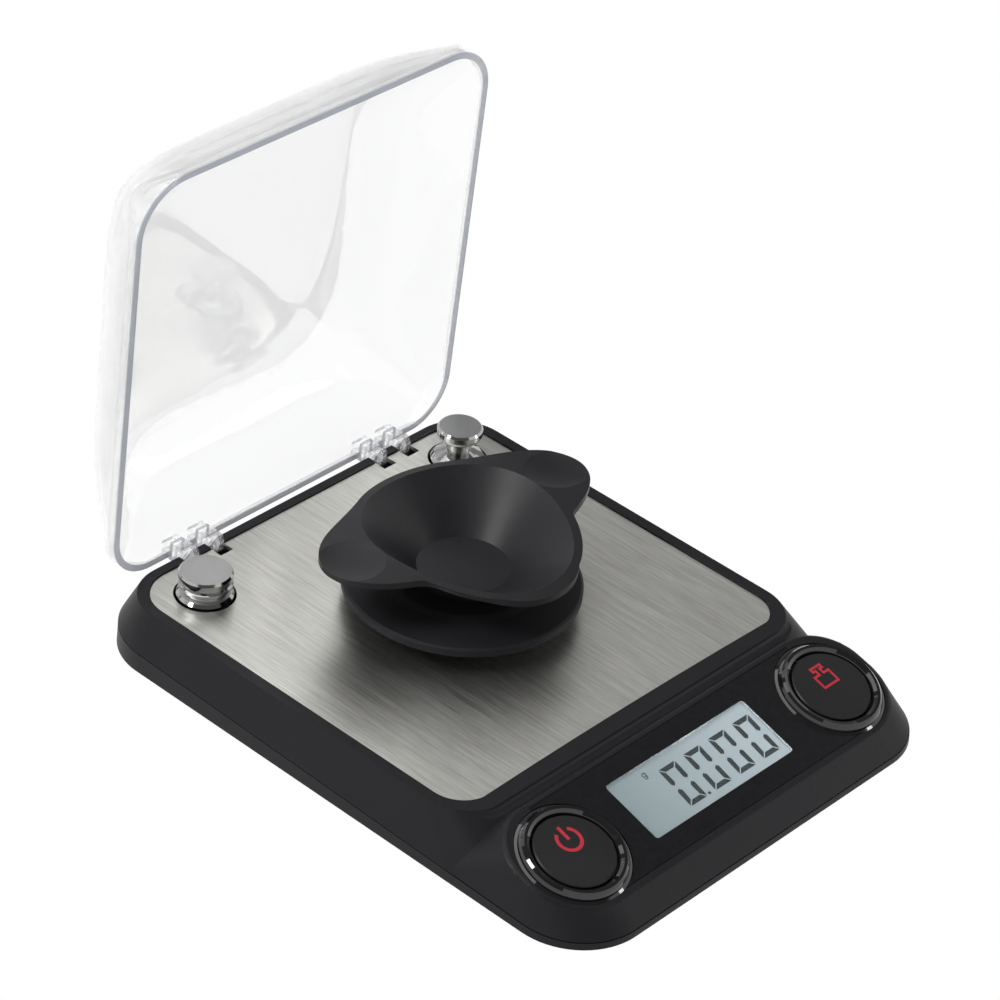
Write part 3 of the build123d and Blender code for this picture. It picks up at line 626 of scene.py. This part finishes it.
# Batteries, contacts and wires: two sleeved cells between nickel-plated plates and coiled springs.
# Thin insulated leads run from the gauges to the board.
sleeve = Finish("cell_sleeve", (0.10, 0.10, 0.11), 0.28, Coat_Weight=0.5)
wrap = sleeve.grain(300, detail=2)
sleeve.set("Base Color", wrap.between(0.3, 0.7).tint((0.085, 0.085, 0.095), (0.13, 0.13, 0.14)))
sleeve.set("Roughness", 0.22 + wrap * 0.14)
dress(sleeve, "battery_front", "battery_back")

contact_nickel = brushed_steel(
    "contact_nickel",
    dark=(0.50, 0.49, 0.46),
    light=(0.68, 0.67, 0.64),
    roughness=0.26,
    across_per_m=1800,
    along_per_m=300,
)
dress(contact_nickel, "contact_plates", "battery_springs")

lead_red = moulded(
    "lead_red",
    dark=(0.42, 0.020, 0.016),
    light=(0.52, 0.035, 0.028),
    roughness=0.45,
    grain_per_m=1600,
    depth=0.010 * mm,
)
dress(lead_red, "sensor_leads")


# Battery door and feet: the door is moulded like the housing, and slides in grooves under it.
# The feet are soft black rubber pads, pressed into round recesses.
door_black = moulded(
    "door_black",
    dark=(0.0105, 0.0105, 0.0118),
    light=(0.0155, 0.0155, 0.0172),
    roughness=0.52,
    grain_per_m=3200,
    depth=0.020 * mm,
)
dress(door_black, "battery_door")

foot_rubber = moulded(
    "foot_rubber",
    dark=(0.020, 0.020, 0.020),
    light=(0.032, 0.032, 0.032),
    roughness=0.78,
    grain_per_m=2200,
    depth=0.040 * mm,
    specular=0.3,
)
dress(foot_rubber, "rubber_feet")


# Floor, lights and camera: a plain white sweep under broad soft lamps, as in a product photograph.
# The camera stands high on the front left, far off with a long lens, and is rolled a little.
floor_reach = 3.0


def card(name, half_width, half_depth):
    """A flat four-cornered sheet, centred on its own origin."""
    mesh = bpy.data.meshes.new(name)
    corners = [(x * half_width, y * half_depth, 0) for x, y in ((-1, -1), (1, -1), (1, 1), (-1, 1))]
    mesh.from_pydata(corners, [], [(0, 1, 2, 3)])
    made = bpy.data.objects.new(name, mesh)
    bpy.context.scene.collection.objects.link(made)
    return made


floor = card("floor", floor_reach, floor_reach)
sweep = bpy.data.materials.new("white_sweep")
sweep.use_nodes = True
sweep_tree = sweep.node_tree
sweep_tree.nodes.remove(next(n for n in sweep_tree.nodes if n.type == "BSDF_PRINCIPLED"))


def seen_directly(tree):
    """1 for rays straight from the camera, off polished metal or through clear pieces."""
    rays = tree.nodes.new("ShaderNodeLightPath").outputs
    straight, mirrored, through = (
        Wire(tree, rays[name]) for name in ("Is Camera Ray", "Is Glossy Ray", "Is Transmission Ray")
    )
    return (straight + mirrored + through).between(0, 1)


sheet = Wire(sweep_tree)
paper = sheet.node("BsdfDiffuse", {}, {"Color": (0.82, 0.82, 0.82, 1)})
glow = sheet.node("Emission", {}, {"Color": (1, 1, 1, 1), "Strength": 1.0})
mixed = sheet.node("MixShader", {}, {0: seen_directly(sweep_tree), 1: paper, 2: glow})
sweep_tree.links.new(mixed.socket, sweep_tree.nodes["Material Output"].inputs["Surface"])
floor.data.materials.append(sweep)

world = bpy.data.worlds.new("studio")
bpy.context.scene.world = world
world.use_nodes = True
world_tree = world.node_tree
backdrop = world_tree.nodes["Background"]
backdrop.inputs["Color"].default_value = (1, 1, 1, 1)
room_light = 0.42
room_strength = seen_directly(world_tree) * (1 - room_light) + room_light
world_tree.links.new(room_strength.socket, backdrop.inputs["Strength"])

middle = (cad_low + cad_high) / 2


def aimed(thing, place):
    """Stands a thing at a place, facing the middle of the scale."""
    thing.location = place
    thing.rotation_euler = (middle - Vector(place)).to_track_quat("-Z", "Y").to_euler()


def lamp(name, place, width, height, watts):
    """A rectangular softbox."""
    light = bpy.data.lights.new(name, "AREA")
    light.shape = "RECTANGLE"
    light.size, light.size_y = width, height
    light.energy = watts
    made = bpy.data.objects.new(name, light)
    bpy.context.scene.collection.objects.link(made)
    aimed(made, place)


lamp("top_softbox", (0.0, 0.15, 0.55), width=0.5, height=0.5, watts=1.5)
lamp("left_softbox", (-0.43, 0.20, 0.50), width=0.18, height=0.14, watts=1.9)
lamp("right_strip", (0.42, -0.38, 0.30), width=0.05, height=0.22, watts=0.35)


def flag(name, place, width, height, shade):
    """A grey card beside the set, which only polished and satin surfaces mirror."""
    felted = card(name, width / 2, height / 2)
    aimed(felted, place)
    for ray in ("camera", "diffuse", "transmission", "volume_scatter", "shadow"):
        setattr(felted, "visible_" + ray, False)
    felt = bpy.data.materials.new(name)
    felt.use_nodes = True
    tree = felt.node_tree
    paint = Wire(tree).node("Emission", {}, {"Color": (shade, shade, shade, 1), "Strength": 1.0})
    tree.links.new(paint.socket, tree.nodes["Material Output"].inputs["Surface"])
    felted.data.materials.append(felt)


flag("back_right_flag", (0.42, 0.36, 0.30), width=0.75, height=0.45, shade=0.32)
flag("overhead_flag", (0.0, 0.0, 0.90), width=1.9, height=1.9, shade=0.14)

camera_turn = math.radians(-50.274)
camera_height = math.radians(34.876)
camera_roll = math.radians(5.684)
camera_away = 0.677365
camera_slide = (-0.007760, -0.016594)
sensor_mm = 36.0
focal_pixels = 4013.857
frame_pixels = 1000.0
plate_low, plate_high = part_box("deck_plate")
camera_datum = Vector((0, (plate_low.y + plate_high.y) / 2 + 1.4 * mm, plate_high.z))

back = Vector((
    math.sin(camera_turn) * math.cos(camera_height),
    -math.cos(camera_turn) * math.cos(camera_height),
    math.sin(camera_height),
))
level = Vector((math.cos(camera_turn), math.sin(camera_turn), 0))
rise = back.cross(level)
right = level * math.cos(camera_roll) + rise * math.sin(camera_roll)
up = rise * math.cos(camera_roll) - level * math.sin(camera_roll)
camera_place = camera_datum + back * camera_away - right * camera_slide[0] - up * camera_slide[1]

camera_data = bpy.data.cameras.new("camera")
camera_data.sensor_fit = "HORIZONTAL"
camera_data.sensor_width = sensor_mm
camera_data.lens = focal_pixels / frame_pixels * sensor_mm
camera_data.clip_start = 0.01
camera_data.clip_end = 20
camera = bpy.data.objects.new("camera", camera_data)
bpy.context.scene.collection.objects.link(camera)
camera.matrix_world = Matrix.Translation(camera_place) @ Matrix((right, up, back)).transposed().to_4x4()
bpy.context.scene.camera = camera
bpy.context.scene.view_settings.view_transform = "Standard"
